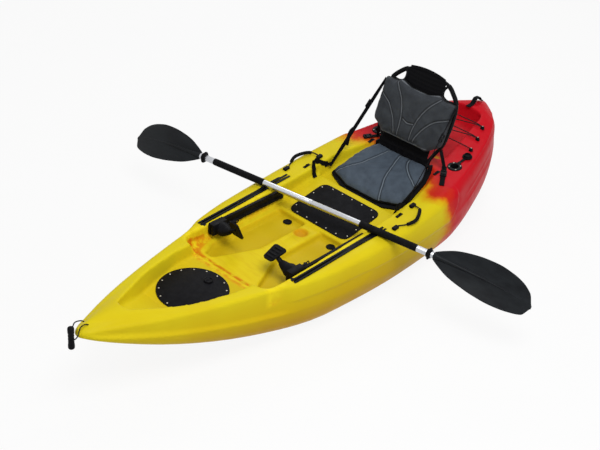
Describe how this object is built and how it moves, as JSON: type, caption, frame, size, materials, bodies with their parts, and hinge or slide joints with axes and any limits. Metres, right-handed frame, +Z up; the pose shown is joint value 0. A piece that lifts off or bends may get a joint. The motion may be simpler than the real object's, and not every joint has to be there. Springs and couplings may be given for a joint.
{
  "type": "fishing kayak",
  "caption": "Sit-on-top fishing kayak with a folding seat, foot braces, gear tracks, rod holders, deck plates and a two-piece paddle.",
  "frame": {"origin": "on the flat of the keel amidships, at the lowest level of the hull", "axes": "+X to the bow, +Y to port, +Z up"},
  "size_m": [2.7875, 2.2234, 0.8235],
  "materials": {
    "hull_polyethylene": "rotomoulded, yellow at the bow and red at the stern, satin",
    "black_plastic": "moulded black",
    "black_rubber": "soft, satin",
    "black_webbing": "woven black",
    "grey_seat_cloth": "coated cloth, blue grey",
    "dark_back_cloth": "coated cloth, dark grey",
    "black_mesh": "open black mesh",
    "black_anodised": "black anodised",
    "bright_alloy": "satin",
    "blade_nylon": "filled nylon, satin"
  },
  "bodies": {
    "boat": {"hull": "hull_polyethylene", "bow_hatch_plate": "black_plastic", "centre_deck_plate": "black_plastic", "stern_handle": "black_webbing", "tankwell_bungee": "black_webbing", "seat_board": "black_plastic", "seat_pad": "grey_seat_cloth", "backrest_pin": "bright_alloy", "gear_track_port": "black_anodised", "gear_track_starboard": "black_anodised", "foot_rail_port": "black_plastic", "foot_rail_starboard": "black_plastic", "rod_holder_port": "black_plastic", "rod_holder_starboard": "black_plastic", "seat_strap_front_port": "black_webbing", "seat_strap_front_starboard": "black_webbing", "seat_strap_rear_port": "black_webbing", "seat_strap_rear_starboard": "black_webbing", "strap_buckle_front_port": "black_plastic", "strap_buckle_front_starboard": "black_plastic", "strap_buckle_rear_port": "black_plastic", "strap_buckle_rear_starboard": "black_plastic", "seat_eye_front_port": "black_plastic", "seat_eye_front_starboard": "black_plastic", "seat_eye_rear_port": "black_plastic", "seat_eye_rear_starboard": "black_plastic", "deck_eye_port": "black_plastic", "deck_eye_starboard": "black_plastic", "carry_handle_anchor_front_port": "black_plastic", "carry_handle_anchor_front_starboard": "black_plastic", "carry_handle_anchor_rear_port": "black_plastic", "carry_handle_anchor_rear_starboard": "black_plastic"},
    "bow_cap": {"bow_inspection_cap": "black_plastic"},
    "bow_toggle": {"bow_toggle_bar": "black_plastic", "bow_toggle_cord": "black_webbing"},
    "backrest": {"backrest_frame": "black_anodised", "backrest_mesh": "black_mesh", "backrest_pad": "dark_back_cloth"},
    "paddle": {"paddle_shaft_port": "bright_alloy", "paddle_grip_port": "black_rubber", "paddle_drip_ring_port": "black_rubber", "paddle_blade_port": "blade_nylon"},
    "paddle_joint": {"paddle_ferrule": "black_plastic"},
    "paddle_half": {"paddle_shaft_starboard": "bright_alloy", "paddle_grip_starboard": "black_rubber", "paddle_drip_ring_starboard": "black_rubber", "paddle_blade_starboard": "blade_nylon"},
    "plug_port": {"scupper_plug_port": "black_rubber"},
    "pedal_port": {"foot_pedal_port": "black_plastic"},
    "lever_port": {"pedal_lock_lever_port": "black_plastic"},
    "carry_handle_port": {"carry_handle_cord_port": "black_webbing", "carry_handle_grip_port": "black_rubber"},
    "rod_cap_port": {"rod_holder_cap_port": "black_rubber"},
    "plug_starboard": {"scupper_plug_starboard": "black_rubber"},
    "pedal_starboard": {"foot_pedal_starboard": "black_plastic"},
    "lever_starboard": {"pedal_lock_lever_starboard": "black_plastic"},
    "carry_handle_starboard": {"carry_handle_cord_starboard": "black_webbing", "carry_handle_grip_starboard": "black_rubber"},
    "rod_cap_starboard": {"rod_holder_cap_starboard": "black_rubber"}
  },
  "joints": [
    {"name": "bow_cap_turn", "type": "hinge", "parent": "boat", "child": "bow_cap", "pos_m": [0.672, 0, 0.267], "axis": [0, 0, 1], "continuous": true},
    {"name": "bow_toggle_swing", "type": "hinge", "parent": "boat", "child": "bow_toggle", "pos_m": [1.327, 0, 0.3829], "axis": [0, -1, 0], "range_deg": [0, 75]},
    {"name": "backrest_fold", "type": "hinge", "parent": "boat", "child": "backrest", "pos_m": [-0.668, 0, 0.404], "axis": [0, 1, 0], "range_deg": [0, 76], "deforming": ["seat_strap_front_port", "seat_strap_front_starboard", "seat_strap_rear_port", "seat_strap_rear_starboard"]},
    {"name": "scupper_plug_pull_port", "type": "slide", "parent": "boat", "child": "plug_port", "axis": [0, 0, 1], "range_m": [0, 0.06]},
    {"name": "foot_pedal_slide_port", "type": "slide", "parent": "boat", "child": "pedal_port", "axis": [1, 0, 0], "range_m": [-0.29, 0]},
    {"name": "pedal_lock_port", "type": "hinge", "parent": "pedal_port", "child": "lever_port", "pos_m": [0.35, 0.2268, 0.297], "axis": [0, 0, 1], "range_deg": [0, 18], "stiffness_Nm_per_rad": 0.02, "springref_deg": -5.73},
    {"name": "carry_handle_swing_port", "type": "hinge", "parent": "boat", "child": "carry_handle_port", "pos_m": [-0.1976, 0.346, 0.35103], "axis": [0.9723, 0.2021, -0.1172], "range_deg": [0, 100]},
    {"name": "rod_cap_flip_port", "type": "hinge", "parent": "boat", "child": "rod_cap_port", "pos_m": [-0.82223, 0.243, 0.41719], "axis": [0, 1, 0], "range_deg": [0, 180]},
    {"name": "scupper_plug_pull_starboard", "type": "slide", "parent": "boat", "child": "plug_starboard", "axis": [0, 0, 1], "range_m": [0, 0.06]},
    {"name": "foot_pedal_slide_starboard", "type": "slide", "parent": "boat", "child": "pedal_starboard", "axis": [1, 0, 0], "range_m": [-0.29, 0]},
    {"name": "pedal_lock_starboard", "type": "hinge", "parent": "pedal_starboard", "child": "lever_starboard", "pos_m": [0.35, -0.2268, 0.297], "axis": [0, 0, -1], "range_deg": [0, 18], "stiffness_Nm_per_rad": 0.02, "springref_deg": -5.73},
    {"name": "carry_handle_swing_starboard", "type": "hinge", "parent": "boat", "child": "carry_handle_starboard", "pos_m": [-0.1976, -0.346, 0.35103], "axis": [-0.9723, 0.2021, 0.1172], "range_deg": [0, 100]},
    {"name": "rod_cap_flip_starboard", "type": "hinge", "parent": "boat", "child": "rod_cap_starboard", "pos_m": [-0.82223, -0.243, 0.41719], "axis": [0, 1, 0], "range_deg": [0, 180]},
    {"name": "paddle_lift", "type": "slide", "parent": "boat", "child": "paddle", "axis": [0, 0, 1], "range_m": [0, 0.45]},
    {"name": "paddle_feather", "type": "hinge", "parent": "paddle", "child": "paddle_joint", "pos_m": [-0.026, -0.044, 0.35567], "axis": [-0.1494, 0.9888, 0], "range_deg": [-60, 60]},
    {"name": "paddle_part", "type": "slide", "parent": "paddle_joint", "child": "paddle_half", "axis": [0.1494, -0.9888, 0], "range_m": [0, 0.05]}
  ]
}
